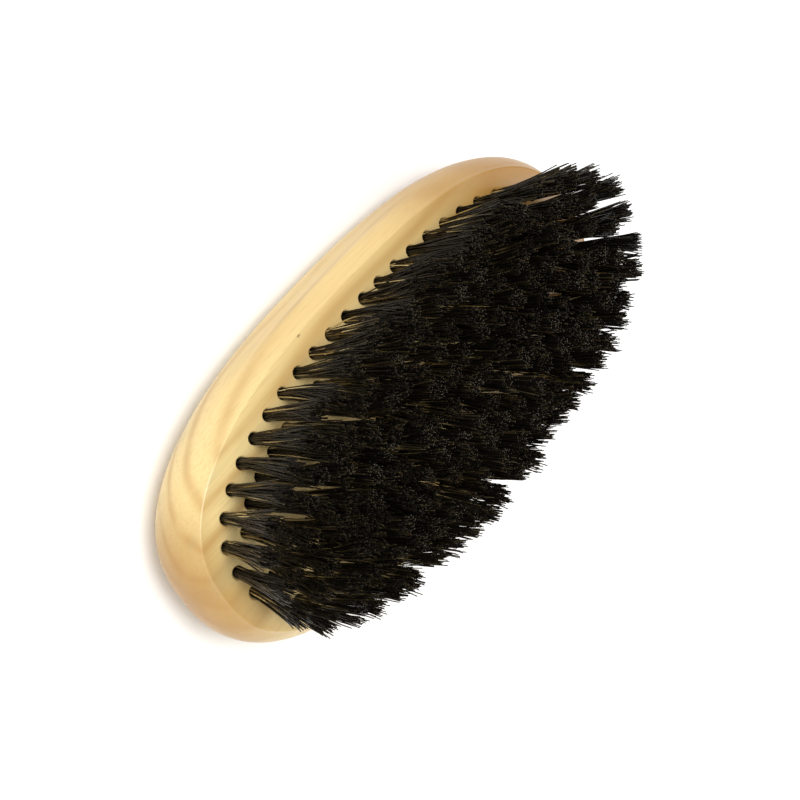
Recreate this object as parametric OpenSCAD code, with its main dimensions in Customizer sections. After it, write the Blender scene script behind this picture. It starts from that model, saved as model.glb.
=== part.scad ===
// Beard brush: an oval hardwood palm block, drilled with blind holes, each hole
// holding a tuft of bristle that is folded over a flat wire anchor. The brush lies
// on its back: +Z runs along the bristles, X along the block, and the origin is the
// middle of the flat on the back.

/* [Block] */
// Length of the tuft face
face_length = 120; // [110:1:130]
// Width of the tuft face
face_width = 53; // [52:0.5:58]
// Roundness of the outline: 2 is an ellipse, more is squarer
outline_power = 2.5; // [2.2:0.1:3]
// Thickness of the block, from the back to the tuft face
block_thickness = 19.5; // [18:0.5:24]
// How far the side swells out past the edge of the tuft face
side_swell = 2.5; // [0.5:0.1:4]
// Depth below the tuft face at which the side is widest
swell_depth = 7.2; // [5:0.1:9]
// How far in the side curls from its widest line to the flat of the back
back_curl = 20; // [14:0.5:22]
// Fullness of that curl: 2 is elliptical, more is boxier
curl_power = 2.4; // [2:0.1:3]
// Width of the broken edge around the tuft face
edge_break = 0.4; // [0.2:0.1:0.8]

/* [Finger grooves] */
// Length of the shallow finger groove along each long side
groove_length = 62; // [40:1:80]
// Height of the groove
groove_height = 8.4; // [6:0.2:10]
// Depth of the groove at its middle
groove_depth = 1.1; // [0.4:0.1:1.8]
// How far the middle of the groove lies below the tuft face
groove_drop = 8.2; // [7:0.1:9]

/* [Tufts] */
// Number of tufts round each ring, from the outermost in
ring_counts = [48, 42, 36, 30];
// Number of tufts in the straight row down the middle
middle_count = 13; // [8:1:13]
// Distance from the edge of the face to the outermost ring
edge_to_ring = 5.65; // [5.4:0.05:6]
// Step from ring to ring along the block
ring_step_x = 4.5; // [4.4:0.1:4.6]
// Diameter of a drilled hole
hole_diameter = 2.45; // [2.2:0.05:2.6]
// Depth of a drilled hole, along its axis
hole_depth = 8; // [6:0.5:9]
// Height of the trimmed bristle above the tuft face
bristle_height = 18.7; // [14:0.1:19]
// Diameter that a tuft opens to at its tips
tip_diameter = 3.9; // [3:0.1:4]
// Outward lean of the outermost ring at the ends of the block, in degrees
end_lean = 10; // [6:0.5:11]
// Outward lean of the outermost ring along the sides, in degrees
side_lean = 3; // [0:0.5:6]

/* [Anchors] */
// Width of the anchor wire, wider than the hole so that it bites into the wood
anchor_width = 3.4; // [2.8:0.1:3.6]
// Height of the anchor wire
anchor_height = 1.8; // [1.4:0.1:2.2]
// Thickness of the anchor wire
anchor_thickness = 0.4; // [0.3:0.05:0.5]
// Bristle folded between the anchor and the bottom of the hole
fold_height = 0.8; // [0.6:0.1:1.2]

/* [Hidden] */

rings = len(ring_counts);
quarters = ["a", "b", "c", "d"];
half_length = face_length / 2;
half_width = face_width / 2;
// The rings close in on the middle row in equal steps across the block
ring_step_y = (half_width - edge_to_ring) / rings;
// Gap that keeps the ends of the middle row clear of the innermost ring
middle_inset = 3.4;
// Each ring starts a little further round than the last, so the tufts stand in the gaps
ring_starts = [0.75, 0.88, 0.4, 0.9];

segments = 96;
top_steps = 9;
curl_steps = 12;
length_steps = 240;
round_faces = 32;

// Radial room between bristle and wood, so that packed solids touch without overlap
bristle_clearance = 0.02;
// Plain length of a tuft above the face before it starts to open
neck_height = 1.5;
// Extra length of a cutter past the surface it cuts
cut_past = 1;
// Turn of a hole's circle about its axis, which keeps its seam off the direction of lean
seam_turn = 45;

// Point on an outline with half-axes a and b, at parameter t in degrees
function signed_power(v, k) = sign(v) * pow(abs(v), k);
function oval_point(a, b, t) = [
    a * signed_power(cos(t), 2 / outline_power),
    b * signed_power(sin(t), 2 / outline_power)];

// Direction square to that outline, as an angle in degrees
function oval_normal(a, b, t) = atan2(
    signed_power(sin(t), 2 - 2 / outline_power) / b,
    signed_power(cos(t), 2 - 2 / outline_power) / a);

// Running length round an outline, as a table of [length, parameter]
function oval_lengths(a, b, i = 0, sum = 0) =
    i > length_steps ? [] :
    let (here = oval_point(a, b, 360 * i / length_steps),
         next = oval_point(a, b, 360 * (i + 1) / length_steps))
    concat([[sum, 360 * i / length_steps]], oval_lengths(a, b, i + 1, sum + norm(next - here)));

// Round hollow that is 1 in the middle and runs out to nothing at u = 1 and -1
function hollow(u) = abs(u) < 1 ? 1 - u * u : 0;

// Side profile: [swell past the edge of the face, depth below the face]
function upper_side(u) = [side_swell * (1 - pow(1 - u, 2)), swell_depth * u];
function lower_side(t) = [
    side_swell - back_curl * (1 - pow(cos(t), 2 / curl_power)),
    swell_depth + (block_thickness - swell_depth) * pow(sin(t), 2 / curl_power)];
// The first and last levels stand past the face and the back, and are trimmed off flat
side_profile = concat(
    [[-edge_break, -cut_past], [-edge_break, 0]],
    [for (i = [1:top_steps]) upper_side(i / top_steps)],
    [for (i = [1:curl_steps]) lower_side(90 * i / curl_steps)],
    [lower_side(90) + [0, cut_past]]);

// How far the finger groove draws the side in at a place along the block
function groove_at(x, depth) =
    groove_depth * hollow(2 * x / groove_length) * hollow(2 * (depth - groove_drop) / groove_height);

// One point of the block's skin
function skin_point(level, t) =
    let (swell = level[0], depth = level[1],
         p = oval_point(half_length + swell, half_width + swell, t))
    [p[0], p[1] - sign(p[1]) * groove_at(p[0], depth), block_thickness - depth];

module block_skin() {
    levels = len(side_profile);
    points = [for (level = side_profile) for (s = [0:segments - 1])
        skin_point(level, 360 * (s + 0.5) / segments)];
    walls = [for (i = [0:levels - 2]) for (s = [0:segments - 1])
        let (n = (s + 1) % segments)
        [i * segments + s, i * segments + n, (i + 1) * segments + n, (i + 1) * segments + s]];
    split_walls = [for (w = walls) each [[w[0], w[1], w[2]], [w[0], w[2], w[3]]]];
    face = [for (s = [segments - 1:-1:0]) s];
    back = [for (s = [0:segments - 1]) (levels - 1) * segments + s];
    polyhedron(points = points, faces = concat([face], split_walls, [back]), convexity = 4);
}

// Block with its tuft face and its back trimmed to true planes
module trimmed_block() {
    trim = face_length + 4 * side_swell;
    intersection() {
        block_skin();
        translate([-trim / 2, -trim / 2, 0])
            cube([trim, trim, block_thickness]);
    }
}

// Places of the tufts: [x, y, direction of lean, lean in degrees]
function ring_places(ring) =
    let (a = half_length - edge_to_ring - ring * ring_step_x,
         b = half_width - edge_to_ring - ring * ring_step_y,
         table = oval_lengths(a, b),
         around = table[length_steps][0],
         count = ring_counts[ring])
    [for (i = [0:count - 1])
        let (t = lookup((i + ring_starts[ring]) * around / count, table),
             p = oval_point(a, b, t),
             way = oval_normal(a, b, t),
             lean = side_lean + (end_lean - side_lean) * pow(cos(way), 2))
        [p[0], p[1], way, lean * (1 - ring / rings)]];

function middle_places() =
    let (reach = half_length - edge_to_ring - rings * ring_step_x - middle_inset)
    [for (i = [0:middle_count - 1])
        [reach * (2 * i / (middle_count - 1) - 1), 0, 90, 0]];

function row_places(row) = row < rings ? ring_places(row) : middle_places();

function quarter_places(places, q) =
    let (each_quarter = len(places) / len(quarters))
    [for (i = [0:len(places) - 1]) if (floor(i / each_quarter) == q) places[i]];

// Puts its children at a tuft's place, with +Z along the tuft and the face at zero
module at_place(place) {
    translate([place[0], place[1], block_thickness])
        rotate([0, place[3], place[2]])
            children();
}

module anchor_wire() {
    translate([-anchor_thickness / 2, -anchor_width / 2, fold_height - hole_depth])
        cube([anchor_thickness, anchor_width, anchor_height]);
}

// Drilled hole together with the slot that the anchor bites into the wood
module drilled_seat() {
    translate([0, 0, -hole_depth])
        rotate(seam_turn)
            cylinder(h = hole_depth + cut_past, d = hole_diameter, $fn = round_faces);
    anchor_wire();
}

module tuft(lean) {
    root_radius = hole_diameter / 2 - bristle_clearance;
    tip_radius = tip_diameter / 2;
    reach = (bristle_height - tip_radius * sin(lean)) / cos(lean);
    difference() {
        translate([0, 0, -hole_depth])
            cylinder(h = hole_depth + neck_height, r = root_radius, $fn = round_faces);
        anchor_wire();
    }
    translate([0, 0, neck_height])
        cylinder(h = reach - neck_height, r1 = root_radius, r2 = tip_radius, $fn = round_faces);
}

module block() {
    color("burlywood")
        difference() {
            trimmed_block();
            for (row = [0:rings])
                for (place = row_places(row))
                    at_place(place) drilled_seat();
        }
}

module tufts(places) {
    color([0.09, 0.08, 0.07])
        for (place = places)
            at_place(place) tuft(place[3]);
}

module anchors(places) {
    color("silver")
        for (place = places)
            at_place(place) anchor_wire();
}

block();
for (ring = [0:rings - 1]) {
    for (q = [0:len(quarters) - 1])
        tufts(quarter_places(ring_places(ring), q));
    anchors(ring_places(ring));
}
tufts(middle_places());  // tufts_middle_row
anchors(middle_places());  // anchors_middle_row
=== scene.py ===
# %% [markdown]
# # A beard brush
# An oval palm brush: one block of pale lacquered hardwood, drilled with blind holes, and a
# tuft of dark bristle folded over a wire anchor in each hole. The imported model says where
# every solid lies. This lesson gives the wood its fine shape and figure, and turns each
# plain tuft into separate bristles.

# %% Load the frame
import math

import bpy
import numpy as np
from mathutils import Matrix, Vector


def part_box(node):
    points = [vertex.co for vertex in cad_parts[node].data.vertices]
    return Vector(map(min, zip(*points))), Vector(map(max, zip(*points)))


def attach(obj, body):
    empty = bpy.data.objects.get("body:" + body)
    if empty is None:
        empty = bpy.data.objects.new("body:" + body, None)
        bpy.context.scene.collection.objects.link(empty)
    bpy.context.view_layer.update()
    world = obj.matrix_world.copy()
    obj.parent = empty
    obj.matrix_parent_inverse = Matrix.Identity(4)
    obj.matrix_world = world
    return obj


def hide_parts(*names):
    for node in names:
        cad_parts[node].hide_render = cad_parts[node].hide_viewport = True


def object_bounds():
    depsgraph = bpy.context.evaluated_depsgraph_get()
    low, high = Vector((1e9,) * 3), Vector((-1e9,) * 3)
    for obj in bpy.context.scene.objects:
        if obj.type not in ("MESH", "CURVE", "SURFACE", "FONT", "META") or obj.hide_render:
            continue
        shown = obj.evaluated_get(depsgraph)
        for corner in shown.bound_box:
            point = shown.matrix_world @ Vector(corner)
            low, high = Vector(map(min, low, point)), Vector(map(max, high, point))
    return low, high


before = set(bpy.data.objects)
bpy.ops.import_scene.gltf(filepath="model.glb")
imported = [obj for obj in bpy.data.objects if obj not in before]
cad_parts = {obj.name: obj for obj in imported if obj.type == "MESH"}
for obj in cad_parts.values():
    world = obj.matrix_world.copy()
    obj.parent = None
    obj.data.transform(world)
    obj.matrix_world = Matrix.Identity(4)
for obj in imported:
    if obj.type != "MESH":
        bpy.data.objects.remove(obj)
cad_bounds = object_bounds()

mm = 0.001
block_low, block_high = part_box("block")
face_height = block_high.z
trim_height = cad_bounds[1].z
print("block", tuple(round(v / mm, 1) for v in block_high - block_low), "mm")
print("bristle stands", round((trim_height - face_height) / mm, 1), "mm above the face")

# %% [markdown]
# ## Writing node trees as sums
# Materials and Geometry Nodes both need a good deal of arithmetic. Wiring each Math node by
# hand hides the rule that it follows, so a small class wraps a socket and gives it Python's
# own operators. Every other kind of node comes from one method, which takes the node's type,
# its settings, and what goes into its sockets.

# %% Sockets that do arithmetic
class Wire:
    """An output socket that adds its own Math nodes when it is used in a sum."""

    def __init__(self, graph, node, socket):
        self.graph, self.node, self.socket = graph, node, socket

    def out(self, name):
        found = next(s for s in self.node.outputs if s.name == name and s.enabled)
        return Wire(self.graph, self.node, found)

    def _sum(self, operation, other, turned_round=False):
        first, second = (other, self) if turned_round else (self, other)
        if is_vector(first) and is_vector(second):
            return self.graph.node("ShaderNodeVectorMath", {"operation": operation},
                                   {0: first, 1: second})
        if is_vector(first) or is_vector(second):
            arrow, number = (first, second) if is_vector(first) else (second, first)
            return self.graph.node("ShaderNodeVectorMath", {"operation": "SCALE"},
                                   {0: arrow, "Scale": number})
        return self.graph.node("ShaderNodeMath", {"operation": operation}, {0: first, 1: second})

    def __add__(self, other): return self._sum("ADD", other)
    def __radd__(self, other): return self._sum("ADD", other, True)
    def __sub__(self, other): return self._sum("SUBTRACT", other)
    def __rsub__(self, other): return self._sum("SUBTRACT", other, True)
    def __mul__(self, other): return self._sum("MULTIPLY", other)
    def __rmul__(self, other): return self._sum("MULTIPLY", other, True)
    def __truediv__(self, other): return self._sum("DIVIDE", other)
    def __pow__(self, other): return self._sum("POWER", other)
    def __mod__(self, other): return self._sum("FLOORED_MODULO", other)
    def __gt__(self, other): return self._sum("GREATER_THAN", other)
    def __lt__(self, other): return self._sum("LESS_THAN", other)
    def __abs__(self): return self.alone("ABSOLUTE")
    def __neg__(self): return self * -1

    def alone(self, operation):
        """A Math node that takes this value and nothing else, such as a sine."""
        return self.graph.node("ShaderNodeMath", {"operation": operation}, {0: self})

    def at_least(self, low): return self._sum("MAXIMUM", low)
    def at_most(self, high): return self._sum("MINIMUM", high)

    def fade(self, start, end):
        """0 at start, 1 at end, and a smooth step between them."""
        return self.graph.node("ShaderNodeMapRange", {"interpolation_type": "SMOOTHSTEP"},
                               {"Value": self, "From Min": start, "From Max": end})


def is_vector(value):
    if isinstance(value, Wire):
        return value.socket.type in ("VECTOR", "RGBA")
    return isinstance(value, (tuple, Vector))


class Graph:
    """A node tree that is filled through one method."""

    def __init__(self, tree):
        self.tree = tree
        tree.nodes.clear()

    def node(self, kind, settings=None, sockets=None):
        new = self.tree.nodes.new(kind)
        for name, value in (settings or {}).items():
            if name == "stops":
                self.set_stops(new.color_ramp, value)
            else:
                setattr(new, name, value)
        for key, value in (sockets or {}).items():
            self.plug(self.inlet(new, key), value)
        shown = [s for s in new.outputs if s.enabled]
        return Wire(self, new, shown[0] if shown else None)

    def constant(self, value):
        """A plain number as a wire, for a formula that is written for wires."""
        new = self.tree.nodes.new("ShaderNodeValue")
        new.outputs[0].default_value = value
        return Wire(self, new, new.outputs[0])

    def inlet(self, node, key):
        if isinstance(key, int):
            return node.inputs[key]
        return next(s for s in node.inputs if s.name == key and s.enabled)

    def plug(self, socket, value):
        if isinstance(value, Wire):
            self.tree.links.new(value.socket, socket)
        elif isinstance(value, list):
            for part in value:
                self.tree.links.new(part.socket, socket)
        else:
            socket.default_value = value

    def set_stops(self, ramp, stops):
        while len(ramp.elements) < len(stops):
            ramp.elements.new(0.5)
        for element, (place, colour) in zip(ramp.elements, stops):
            element.position = place
            element.color = (*colour, 1)


print("sockets can be added, scaled and faded")

# %% [markdown]
# ## Geometry Nodes as a tool
# A tree is made with named inputs, hung on an object that holds the starting points, and
# evaluated once. What comes out is copied to a plain mesh, because the export wants real
# faces and no modifier.

# %% Make a tree, run it, keep the mesh
class GeometryGraph(Graph):
    """A Geometry Nodes tree with named inputs, whose values are kept by identifier."""

    def __init__(self, name):
        super().__init__(bpy.data.node_groups.new(name, "GeometryNodeTree"))
        self.values = {}
        for direction in ("INPUT", "OUTPUT"):
            self.tree.interface.new_socket(
                "Geometry", in_out=direction, socket_type="NodeSocketGeometry")
        self.entry = self.tree.nodes.new("NodeGroupInput")

    def start(self):
        return Wire(self, self.entry, self.entry.outputs["Geometry"])

    def input(self, name, value):
        kind = "NodeSocketInt" if isinstance(value, int) else "NodeSocketFloat"
        item = self.tree.interface.new_socket(name, in_out="INPUT", socket_type=kind)
        self.values[item.identifier] = value
        return Wire(self, self.entry, self.entry.outputs[name])

    def finish(self, geometry, material):
        painted = self.node("GeometryNodeSetMaterial", {}, {
            "Geometry": geometry, "Material": material})
        exit_node = self.tree.nodes.new("NodeGroupOutput")
        self.tree.links.new(painted.socket, exit_node.inputs["Geometry"])

    def run(self, name, starting_points):
        """Evaluates the tree on a mesh of points and returns the result as a plain object."""
        carrier = bpy.data.objects.new(name + "_points", starting_points)
        bpy.context.scene.collection.objects.link(carrier)
        modifier = carrier.modifiers.new("tree", "NODES")
        modifier.node_group = self.tree
        for identifier, value in self.values.items():
            modifier[identifier] = value
        ready = carrier.evaluated_get(bpy.context.evaluated_depsgraph_get())
        mesh = bpy.data.meshes.new_from_object(ready)
        carrier.modifiers.remove(modifier)
        bpy.data.objects.remove(carrier)
        mesh.name = name
        piece = bpy.data.objects.new(name, mesh)
        bpy.context.scene.collection.objects.link(piece)
        return piece


def triangles(piece):
    return sum(len(p.vertices) - 2 for p in piece.data.polygons)


print("trees can be run")

# %% [markdown]
# ## Where the tufts stand
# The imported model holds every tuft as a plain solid, a round root that opens to a cone.
# Its two ends give the tuft's axis, so nothing about the layout is repeated here: each
# node is split into its separate solids, and each solid into its lowest and highest rim.

# %% Split a node into solids and read each one's axis
def solids_in(node):
    """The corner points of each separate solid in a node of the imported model."""
    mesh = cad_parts[node].data
    places = np.array([v.co for v in mesh.vertices])
    places, welded = np.unique(np.round(places, 6), axis=0, return_inverse=True)
    edges = welded.reshape(-1)[np.array([e.vertices for e in mesh.edges])]
    label = np.arange(len(places))
    while True:
        joined = label.copy()
        low = np.minimum(joined[edges[:, 0]], joined[edges[:, 1]])
        np.minimum.at(joined, edges[:, 0], low)
        np.minimum.at(joined, edges[:, 1], low)
        if (joined == label).all():
            break
        label = joined
    return [places[label == one] for one in np.unique(label)]


# A leaning solid's rims are tilted, so a band of corners is taken at each end
low_rim, high_rim = 0.6 * mm, 1.2 * mm


def tuft_axes(node):
    """Each tuft's place on the face and its unit direction."""
    axes = []
    for solid in solids_in(node):
        heights = solid[:, 2]
        foot = Vector(solid[heights < heights.min() + low_rim].mean(0))
        top = Vector(solid[heights > heights.max() - high_rim].mean(0))
        along = (top - foot).normalized()
        axes.append((foot + along * ((face_height - foot.z) / along.z), along))
    return axes


tuft_nodes = sorted(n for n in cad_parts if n.startswith("tufts_"))
axes_of = {node: tuft_axes(node) for node in tuft_nodes}
print(sum(len(a) for a in axes_of.values()), "tufts in", len(tuft_nodes), "nodes")


# %% Turn axes into a mesh of points that a tree can start from
def points_mesh(name, axes, first_number=0):
    mesh = bpy.data.meshes.new(name)
    mesh.from_pydata([place for place, _ in axes], [], [])
    along = mesh.attributes.new("along", "FLOAT_VECTOR", "POINT")
    along.data.foreach_set("vector", [c for _, way in axes for c in way])
    number = mesh.attributes.new("number", "INT", "POINT")
    number.data.foreach_set("value", [first_number + i for i in range(len(axes))])
    return mesh


print("point meshes carry each tuft's direction and number")

# %% [markdown]
# ## The wood
# The block is a light, close-grained hardwood under a satin lacquer. Its grain runs along
# the block, so every pattern is stretched that way: broad drifts of colour, growth lines
# that wander, fine fibres, and short pores. Both ends are painted a darker, warmer tan as
# painted shade where the light falls off. A few grey-green mineral streaks and small dark
# flecks are what tell real wood from a print.

# %% Wood material
def wood_material():
    material = bpy.data.materials.new("lacquered_hardwood")
    material.use_nodes = True
    g = Graph(material.node_tree)
    place = g.node("ShaderNodeTexCoord").out("Object")
    place_xyz = g.node("ShaderNodeSeparateXYZ", {}, {0: place})
    along_block = place_xyz.out("X")

    def stretched(scale, ratio, detail=4.0, rough=0.55, shift=0.0):
        """Noise drawn out along the grain: scale is across the grain, in cycles a metre."""
        mapped = g.node("ShaderNodeMapping", {}, {
            "Vector": place, "Location": (shift, shift, shift),
            "Scale": (scale * ratio, scale, scale)})
        return g.node("ShaderNodeTexNoise", {}, {
            "Vector": mapped, "Scale": 1.0, "Detail": detail, "Roughness": rough})

    def mix(factor, first, second):
        return g.node("ShaderNodeMix", {"data_type": "RGBA"},
                      {"Factor": factor, "A": first, "B": second}).out("Result")

    cream = (0.78, 0.60, 0.27, 1)
    honey = (0.70, 0.47, 0.18, 1)
    # tan is the colour of the painted shade laid towards both ends, where the light falls off
    tan = (0.38, 0.19, 0.035, 1)
    grey_green = (0.40, 0.36, 0.19, 1)
    umber = (0.16, 0.085, 0.03, 1)
    line_brown = (0.56, 0.35, 0.12, 1)
    fibre_brown = (0.58, 0.37, 0.15, 1)

    # Broad drifts of colour
    drift = stretched(45, 0.35, 2.0).fade(0.35, 0.7)
    base = mix(drift * 0.55, cream, honey)

    # Growth lines: an even ripple across the grain, one about every 5 mm, bent by slow noise
    radians_in_metre, radians_of_bend, line_sharpness = 1300, 26, 3
    bend = stretched(30, 0.25, 2.0, shift=3.0)
    across = place_xyz.out("Y") * 0.75 + place_xyz.out("Z") * 0.66
    wave = (across * radians_in_metre + bend * radians_of_bend).alone("SINE")
    growth = (wave * 0.5 + 0.5) ** line_sharpness * stretched(80, 0.3, shift=7.0).fade(0.30, 0.58)
    base = mix(growth * 0.85, base, line_brown)

    # Fine fibres
    fibre = stretched(2600, 0.03, 5.0, 0.65, shift=1.0)
    base = mix(fibre.fade(0.45, 0.75) * 0.5, base, fibre_brown)

    # Painted shade where the light falls off: darker tan from near the middle towards one end, late
    # towards the other
    shade_far_end = along_block.fade(6 * mm, 48 * mm)
    shade_near_end = (-along_block).fade(50 * mm, 64 * mm)
    shade_at_ends = shade_far_end + shade_near_end
    base = mix(shade_at_ends * (0.70 + 0.5 * stretched(60, 0.5, shift=5.0)), base, tan)

    # Mineral streaks in a few patches, kept off the ends where the shade is painted
    streak = stretched(230, 0.08, 3.0, shift=11.0).fade(0.54, 0.70)
    patch = stretched(40, 0.5, 1.0, shift=2.0).fade(0.42, 0.60)
    base = mix(streak * patch * 0.5 * (1 - shade_at_ends), base, grey_green)

    # Flecks: a cell of the pattern holds one only if its own random number is very high
    fleck_place = g.node("ShaderNodeMapping", {}, {"Vector": place, "Scale": (260, 520, 520)})
    fleck = g.node("ShaderNodeTexVoronoi", {"feature": "F1"}, {"Vector": fleck_place, "Scale": 1.0})
    chance = g.node("ShaderNodeSeparateXYZ", {}, {0: fleck.out("Color")}).out("X")
    fleck_mask = (1 - fleck.out("Distance").fade(0.06, 0.18)) * (chance > 0.985)
    base = mix(fleck_mask * 0.8, base, umber)

    # The lacquer fills most of the pores, so the surface is only a little uneven
    pores = stretched(3800, 0.05, 2.0, 0.5, shift=9.0)
    height = fibre * 0.5 + pores * 0.5
    bump = g.node("ShaderNodeBump", {}, {
        "Strength": 0.16, "Distance": 0.3 * mm, "Height": height})
    satin = 0.34 + 0.12 * drift + 0.1 * fibre
    surface = g.node("ShaderNodeBsdfPrincipled", {}, {
        "Base Color": base, "Roughness": satin, "Coat Weight": 0.25, "Coat Roughness": 0.25,
        "IOR": 1.5, "Normal": bump})
    g.node("ShaderNodeOutputMaterial", {}, {"Surface": surface})
    return material


wood = wood_material()
print(wood.name, len(wood.node_tree.nodes), "nodes")

# %% [markdown]
# ## The block
# The block follows one rule. Its outline is a superellipse, squarer than an ellipse, and
# its side swells out past the edge of the face before it curls under to a flat back. A
# lathe or a bevel can't make that, but a grid can: one direction of the grid runs round the
# outline, the other down the side, and a formula moves every point to its place. Two filled
# circles, bent by the same formula, close it, and a boolean drills the holes.

# %% Sizes of the block that the formula needs
outline_power = 2.5
side_swell = 2.5 * mm
swell_depth = 7.2 * mm
back_curl = 20 * mm
curl_power = 2.4
edge_radius = 0.5 * mm
face_half_length = 60 * mm
face_half_width = 26.5 * mm
groove_length, groove_height = 62 * mm, 8.4 * mm
groove_depth, groove_drop = 1.1 * mm, 8.2 * mm
hole_radius, hole_depth = 1.225 * mm, 8 * mm
chip_radius, chip_depth = 1.42 * mm, 0.22 * mm
print("face", 2 * face_half_length / mm, "x", 2 * face_half_width / mm, "mm")


# %% The tree that shapes and drills the block
def block_tree():
    g = GeometryGraph("oval block")
    half_length = g.input("Half length of face", face_half_length)
    half_width = g.input("Half width of face", face_half_width)
    thickness = g.input("Thickness", face_height)
    swell = g.input("Side swell", side_swell)
    belly = g.input("Swell depth", swell_depth)
    curl = g.input("Back curl", back_curl)
    groove = g.input("Groove depth", groove_depth)
    around = g.input("Points around", 240)
    levels = g.input("Levels down the side", 56)
    # Shares of the way down the side at which the broken edge ends and the curl begins
    edge_share, upper_share = 0.08, 0.36

    def placed(turn, down):
        """The point at a share of a turn round the outline and a share of the way down."""
        edge = (down / edge_share).at_most(1) * (math.pi / 2)
        upper = ((down - edge_share) / (upper_share - edge_share)).at_least(0).at_most(1)
        lower = ((down - upper_share) / (1 - upper_share)).at_least(0) * (math.pi / 2)
        curled = 1 - lower.alone("COSINE").at_least(0) ** (2 / curl_power)
        sunk = lower.alone("SINE").at_least(0) ** (2 / curl_power)
        swelled = swell * (1 - (1 - upper) ** 2)
        out = (edge.alone("SINE") - 1) * edge_radius + swelled - curl * curled
        depth = (1 - edge.alone("COSINE")) * edge_radius + (belly - edge_radius) * upper
        depth = depth + (thickness - belly) * sunk
        angle = turn * (2 * math.pi)
        cosine, sine = angle.alone("COSINE"), angle.alone("SINE")

        def rounded(value):
            return value.alone("SIGN") * abs(value) ** (2 / outline_power)

        px = (half_length + out) * rounded(cosine)
        py = (half_width + out) * rounded(sine)

        def hollow(value):
            return (1 - value * value).at_least(0)

        level = hollow((depth - groove_drop) * (2 / groove_height))
        scoop = groove * hollow(px * (2 / groove_length)) * level
        py = py - py.alone("SIGN") * scoop
        return g.node("ShaderNodeCombineXYZ", {}, {0: px, 1: py, 2: thickness - depth})

    def cap(down, flipped):
        disc = g.node("GeometryNodeMeshCircle", {"fill_type": "NGON"}, {"Vertices": around})
        turn = g.node("GeometryNodeInputIndex") / around
        shaped = g.node("GeometryNodeSetPosition", {}, {
            "Geometry": disc, "Position": placed(turn, g.constant(down))})
        return g.node("GeometryNodeFlipFaces", {}, {"Mesh": shaped}) if flipped else shaped

    grid = g.node("GeometryNodeMeshGrid", {}, {
        "Size X": 1.0, "Size Y": 1.0, "Vertices X": around + 1, "Vertices Y": levels})
    flat = g.node("ShaderNodeSeparateXYZ", {}, {0: g.node("GeometryNodeInputPosition")})
    side = g.node("GeometryNodeSetPosition", {}, {
        "Geometry": grid, "Position": placed(flat.out("X") + 0.5, flat.out("Y") + 0.5)})
    side = g.node("GeometryNodeFlipFaces", {}, {"Mesh": side})
    shell = g.node("GeometryNodeJoinGeometry", {}, {0: [side, cap(0.0, False), cap(1.0, True)]})
    seam_gap = 0.005 * mm
    shell = g.node("GeometryNodeMergeByDistance", {}, {"Geometry": shell, "Distance": seam_gap})

    along = g.node("GeometryNodeInputNamedAttribute", {"data_type": "FLOAT_VECTOR"},
                   {"Name": "along"})
    tilt = g.node("FunctionNodeAlignRotationToVector", {"axis": "Z"}, {"Vector": along})

    def cutters(radius_low, radius_high, height, lift):
        """One round cutter at every tuft, tilted along it."""
        cone = g.node("GeometryNodeMeshCone", {"fill_type": "NGON"}, {
            "Vertices": 24, "Side Segments": 1, "Radius Top": radius_high,
            "Radius Bottom": radius_low, "Depth": height})
        cone = g.node("GeometryNodeTransform", {}, {"Geometry": cone, "Translation": (0, 0, lift)})
        stood = g.node("GeometryNodeInstanceOnPoints", {}, {
            "Points": g.start(), "Instance": cone, "Rotation": tilt})
        return g.node("GeometryNodeRealizeInstances", {}, {"Geometry": stood})

    # The cutters stand past the face, and the second one breaks the rim of each hole
    past = 2 * mm
    flare = (chip_radius - hole_radius) / chip_depth
    chip_reach = chip_depth + past
    drill = cutters(hole_radius, hole_radius, hole_depth + past, -hole_depth)
    chips = cutters(hole_radius, hole_radius + flare * chip_reach, chip_reach, -chip_depth)
    drilled = g.node("GeometryNodeMeshBoolean", {"operation": "DIFFERENCE", "solver": "EXACT"},
                     {"Mesh 1": shell, "Mesh 2": [drill, chips]})
    sharp_angle = math.radians(28)
    gentle = g.node("GeometryNodeInputMeshEdgeAngle").out("Unsigned Angle") < sharp_angle
    smooth = g.node("GeometryNodeSetShadeSmooth", {"domain": "FACE"}, {
        "Geometry": drilled, "Shade Smooth": True})
    smooth = g.node("GeometryNodeSetShadeSmooth", {"domain": "EDGE"}, {
        "Geometry": smooth, "Shade Smooth": gentle})
    g.finish(smooth, wood)
    return g


all_axes = [axis for node in tuft_nodes for axis in axes_of[node]]
block = block_tree().run("wood_block", points_mesh("all_holes", all_axes))
print("wood_block", triangles(block), "triangles")

# %% [markdown]
# ## The bristle
# Boar bristle is stiff, glossy and black, with a paler hair here and there. Each hair is a
# little bent, no two are the same length, and it thins to its tip.

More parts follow.
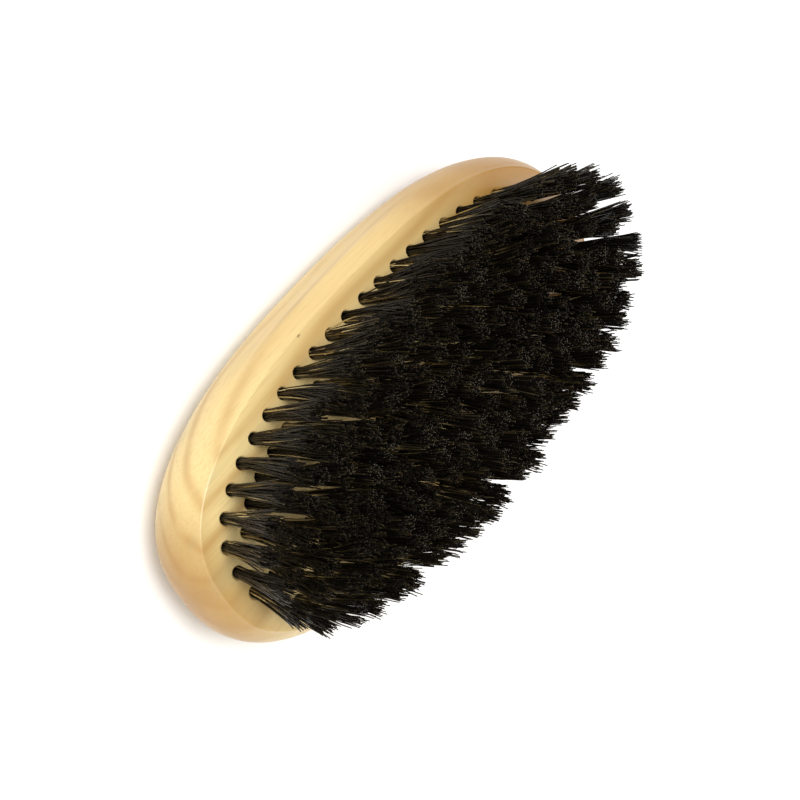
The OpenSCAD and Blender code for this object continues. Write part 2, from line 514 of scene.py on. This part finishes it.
# %% Bristle material
def bristle_material():
    material = bpy.data.materials.new("boar_bristle")
    material.use_nodes = True
    g = Graph(material.node_tree)
    tone = g.node("ShaderNodeAttribute", {"attribute_name": "tone"}).out("Fac")
    rise = g.node("ShaderNodeAttribute", {"attribute_name": "rise"}).out("Fac")
    by_tone = g.node("ShaderNodeValToRGB", {"stops": [
        (0.0, (0.0025, 0.0025, 0.003)), (0.6, (0.006, 0.005, 0.004)),
        (0.865, (0.016, 0.010, 0.005)), (0.885, (0.42, 0.27, 0.07)),
        (1.0, (0.85, 0.66, 0.32))]}, {0: tone})
    # A pale hair is palest at its root and darkens up its length
    tip_black = (0.010, 0.008, 0.006, 1)
    colour = g.node("ShaderNodeMix", {"data_type": "RGBA"}, {
        "Factor": rise.fade(0.40, 0.80) * 0.93, "A": by_tone, "B": tip_black}).out("Result")
    place = g.node("ShaderNodeTexCoord").out("Object")
    grease = g.node("ShaderNodeTexNoise", {}, {"Vector": place, "Scale": 900.0, "Detail": 2.0})
    surface = g.node("ShaderNodeBsdfPrincipled", {}, {
        "Base Color": colour, "Roughness": 0.2 + 0.2 * grease, "IOR": 1.5,
        "Specular IOR Level": 0.28, "Specular Tint": (1.0, 0.84, 0.58, 1)})
    g.node("ShaderNodeOutputMaterial", {}, {"Surface": surface})
    return material


bristle = bristle_material()
print(bristle.name, len(bristle.node_tree.nodes), "nodes")

# %% [markdown]
# ## The tufts
# A tuft is round and tight where it leaves its hole and opens towards its tips. Hair
# systems don't export, and thousands of modelled hairs would all be alike, so a tree makes
# them: every tuft's point is copied once for each knot of each hair, the knots are moved
# to their places by a formula with seeded random numbers, points become curves, and each
# curve gets a three-sided section that tapers to the tip.

# %% Sizes of the tufts
hairs_in_tuft = 92
knots_in_hair = 7
seat_depth = 7.0 * mm
bristle_reach = trim_height - face_height
stray_above = 0.985
opening_power = 1.25
tip_taper = 0.2
print(hairs_in_tuft, "hairs in a tuft, standing", round(bristle_reach / mm, 1), "mm")


# %% The tree that grows the bristles
def bristle_tree():
    g = GeometryGraph("bristle tufts")
    hairs = g.input("Hairs in a tuft", hairs_in_tuft)
    knots = g.input("Knots in a hair", knots_in_hair)
    reach = g.input("Reach", bristle_reach)
    seat = g.input("Depth in the hole", seat_depth)
    root_size = g.input("Radius at the hole", 1.08 * mm)
    tip_size = g.input("Radius at the tips", 3.3 * mm)
    thickness = g.input("Hair radius", 0.15 * mm)
    unruly = g.input("Bend of a hair", 0.35 * mm)
    wander = g.input("Lean of a tuft", 1.4 * mm)
    short = g.input("Unevenness of the tips", 1.5 * mm)
    tuft_short = 1.4 * mm
    locks = g.input("Locks in a tuft", 7)
    gather = g.input("Gathering of the locks", 0.35)
    seed = g.input("Seed", 7)

    def number(name, kind="FLOAT"):
        return g.node("GeometryNodeInputNamedAttribute", {"data_type": kind}, {"Name": name})

    def chance(low, high, who, salt):
        """A random number that belongs to a hair, a lock or a tuft, and stays the same."""
        return g.node("FunctionNodeRandomValue", {"data_type": "FLOAT"}, {
            "Min": low, "Max": high, "ID": who, "Seed": seed * 100 + salt})

    def vector(operation, first, second=None):
        sockets = {0: first} if second is None else {0: first, 1: second}
        return g.node("ShaderNodeVectorMath", {"operation": operation}, sockets)

    points = g.node("GeometryNodeMeshToPoints", {}, {"Mesh": g.start()})
    copies = g.node("GeometryNodeDuplicateElements", {"domain": "POINT"}, {
        "Geometry": points, "Amount": hairs * knots})
    copy = copies.out("Duplicate Index")
    tuft = number("number", "INT")
    hair = tuft * hairs + (copy / knots).alone("FLOOR")
    knot = copy % knots

    # How far up the free bristle a knot lies: 0 at the face, 1 at the tip, below 0 in the hole
    rise = (knot - 1) / (knots - 2)
    free = rise.at_least(0)

    along = number("along", "FLOAT_VECTOR")
    side = vector("NORMALIZE", vector("CROSS_PRODUCT", along, (0.0, 1.0, 0.0)))
    other = vector("CROSS_PRODUCT", along, side)

    def around(radius, angle):
        """A step square to the tuft."""
        return side * (radius * angle.alone("COSINE")) + other * (radius * angle.alone("SINE"))

    def any_way(who, salt):
        return chance(0.0, 2 * math.pi, who, salt)

    turn = any_way(hair, 1)
    spread = chance(0.0, 1.0, hair, 2).alone("SQRT")
    stray = chance(0.0, 1.0, hair, 3) > stray_above
    root = around(spread * root_size, turn)

    # The tips of a tuft gather in a few locks: a hair is drawn towards the middle of its own
    lock = tuft * locks + (chance(0.0, 1.0, hair, 13) * locks).alone("FLOOR")
    lock_spread = chance(0.15, 1.0, lock, 14).alone("SQRT")
    lock_middle = around(lock_spread * tip_size, any_way(lock, 15))
    tip_turn = turn + chance(-0.6, 0.6, hair, 4)
    own_spread = (spread * 0.8 + chance(0.0, 0.25, hair, 5)) * (1 + stray * 0.5)
    tip = around(own_spread * tip_size, tip_turn) * (1 - gather) + lock_middle * gather
    lean = around(chance(0.0, 1.0, tuft, 6).alone("SQRT") * wander, any_way(tuft, 7))
    bend_size = chance(0.2, 1.0, hair, 8) * unruly * (1 + stray * 3)
    curve_off = around(bend_size, any_way(hair, 9))

    # A trimmed tuft is a little short as a whole, and each of its tips a little shorter still
    uneven = chance(0.0, 1.0, hair, 10) ** 2 * short + chance(0.0, tuft_short, tuft, 11)
    height = free * (reach - uneven) - (rise < 0) * seat
    opened = free ** opening_power
    bowed = free * (1 - free) * 4
    offset = root * (1 - opened) + tip * opened + lean * (free ** 2) + curve_off * bowed
    hole = g.node("GeometryNodeInputPosition")
    moved = g.node("GeometryNodeSetPosition", {}, {
        "Geometry": copies, "Position": hole + along * height + offset})

    toned = g.node("GeometryNodeStoreNamedAttribute", {"data_type": "FLOAT", "domain": "POINT"}, {
        "Geometry": moved, "Name": "tone", "Value": chance(0.0, 1.0, hair, 12)})
    marked = g.node("GeometryNodeStoreNamedAttribute", {"data_type": "FLOAT", "domain": "POINT"}, {
        "Geometry": toned, "Name": "rise", "Value": free})
    curves = g.node("GeometryNodePointsToCurves", {}, {
        "Points": marked, "Curve Group ID": hair, "Weight": knot})
    section = g.node("GeometryNodeCurvePrimitiveCircle", {"mode": "RADIUS"}, {
        "Resolution": 3, "Radius": 1.0})
    tubes = g.node("GeometryNodeCurveToMesh", {}, {
        "Curve": curves, "Profile Curve": section, "Fill Caps": True,
        "Scale": thickness * (1 - tip_taper * number("rise") ** 3)})
    smooth = g.node("GeometryNodeSetShadeSmooth", {"domain": "FACE"}, {
        "Geometry": tubes, "Shade Smooth": True})
    whole = g.node("GeometryNodeRealizeInstances", {}, {"Geometry": smooth})
    g.finish(whole, bristle)
    return g


tufts = bristle_tree()
bristle_pieces = {}
tufts_made = 0
for node in tuft_nodes:
    roots = points_mesh(node + "_roots", axes_of[node], tufts_made)
    piece = tufts.run(node.replace("tufts", "bristles"), roots)
    bristle_pieces[node] = piece
    tufts_made += len(axes_of[node])
    print(piece.name, len(axes_of[node]), "tufts", triangles(piece), "triangles")

# %% [markdown]
# ## The anchors
# Each tuft is folded over a short flat wire that is driven into the bottom of its hole.
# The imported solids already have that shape, so they stay and only get a drawn-steel finish.

# %% Anchor material
def wire_material():
    material = bpy.data.materials.new("drawn_wire")
    material.use_nodes = True
    g = Graph(material.node_tree)
    place = g.node("ShaderNodeTexCoord").out("Object")
    dull_steel, bright_steel = (0.50, 0.49, 0.46, 1), (0.66, 0.65, 0.62, 1)
    drawn = g.node("ShaderNodeMapping", {}, {"Vector": place, "Scale": (900, 900, 9000)})
    lines = g.node("ShaderNodeTexNoise", {}, {"Vector": drawn, "Scale": 1.0, "Detail": 3.0})
    colour = g.node("ShaderNodeMix", {"data_type": "RGBA"}, {
        "Factor": lines, "A": dull_steel, "B": bright_steel}).out("Result")
    bump = g.node("ShaderNodeBump", {}, {
        "Strength": 0.2, "Distance": 0.05 * mm, "Height": lines})
    surface = g.node("ShaderNodeBsdfPrincipled", {}, {
        "Base Color": colour, "Metallic": 1.0, "Roughness": 0.28 + 0.2 * lines, "Normal": bump})
    g.node("ShaderNodeOutputMaterial", {}, {"Surface": surface})
    return material


wire = wire_material()
anchor_nodes = [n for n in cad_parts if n.startswith("anchors_")]
for node in anchor_nodes:
    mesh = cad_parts[node].data
    mesh.materials.clear()
    mesh.materials.append(wire)
print(len(anchor_nodes), "rows of anchors in", wire.name)

# %% [markdown]
# ## Camera, floor and light
# The brush lies on its back on a pale floor. The camera looks down on it from one end and
# one side, and is rolled so that the bristles point to the right. Large soft lights keep
# the lacquer's highlights broad and the shadows between tufts open. The view transform is
# the plain one, because a filmic one greys a white background and pales the wood.

# %% Camera
camera_place = Vector((-173.1, 144.7, 280.6)) * mm
camera_right = Vector((0.576, -0.498, 0.648)).normalized()
camera_ahead = Vector((0.492, -0.422, -0.761)).normalized()
camera_up = camera_right.cross(camera_ahead).normalized()
camera_right = camera_ahead.cross(camera_up)
camera_data = bpy.data.cameras.new("camera")
camera_data.lens = 78.0
camera_data.clip_start = 0.01
camera = bpy.data.objects.new("camera", camera_data)
turned = Matrix((camera_right, camera_up, -camera_ahead)).transposed()
camera.matrix_world = Matrix.Translation(camera_place) @ turned.to_4x4()
bpy.context.scene.collection.objects.link(camera)
bpy.context.scene.camera = camera
print("camera at", tuple(round(c, 3) for c in camera_place), "lens", camera_data.lens)


# %% Floor
def floor_material():
    material = bpy.data.materials.new("pale_floor")
    material.use_nodes = True
    g = Graph(material.node_tree)
    surface = g.node("ShaderNodeBsdfPrincipled", {}, {
        "Base Color": (0.92, 0.92, 0.915, 1), "Roughness": 0.9, "Specular IOR Level": 0.1})
    g.node("ShaderNodeOutputMaterial", {}, {"Surface": surface})
    return material


floor_size = 3.0
floor_mesh = bpy.data.meshes.new("floor")
corner = floor_size / 2
floor_mesh.from_pydata(
    [(-corner, -corner, 0), (corner, -corner, 0), (corner, corner, 0), (-corner, corner, 0)],
    [], [(0, 1, 2, 3)])
floor_mesh.materials.append(floor_material())
floor = bpy.data.objects.new("floor", floor_mesh)
bpy.context.scene.collection.objects.link(floor)
print("floor", floor_size, "m square")


# %% Lights
middle_of_brush = Vector((0, 0, 20 * mm))


def soft_light(name, place, size, power):
    """A square lamp of a size in metres and a power in watts, aimed at the brush."""
    data = bpy.data.lights.new(name, "AREA")
    data.shape = "SQUARE"
    data.size = size
    data.energy = power
    lamp = bpy.data.objects.new(name, data)
    aim = (middle_of_brush - Vector(place)).to_track_quat("-Z", "Y")
    lamp.matrix_world = Matrix.Translation(place) @ aim.to_matrix().to_4x4()
    bpy.context.scene.collection.objects.link(lamp)


soft_light("key", (-0.2, 0.36, 0.98), 0.45, 8.6)
soft_light("fill", (-0.9, -0.1, 0.6), 0.8, 2.2)
soft_light("rim", (0.7, -0.5, 0.6), 0.4, 2.5)
world = bpy.data.worlds.new("studio")
world.use_nodes = True
background = world.node_tree.nodes["Background"]
background.inputs["Color"].default_value = (1.0, 1.0, 1.0, 1)
background.inputs["Strength"].default_value = 0.58
bpy.context.scene.world = world
bpy.context.scene.view_settings.view_transform = "Standard"
print("three soft lights and a white world")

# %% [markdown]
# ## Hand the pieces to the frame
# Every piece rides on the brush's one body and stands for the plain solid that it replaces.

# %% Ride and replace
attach(block, "root")
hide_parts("block")
for node, piece in bristle_pieces.items():
    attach(piece, "root")
    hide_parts(node)
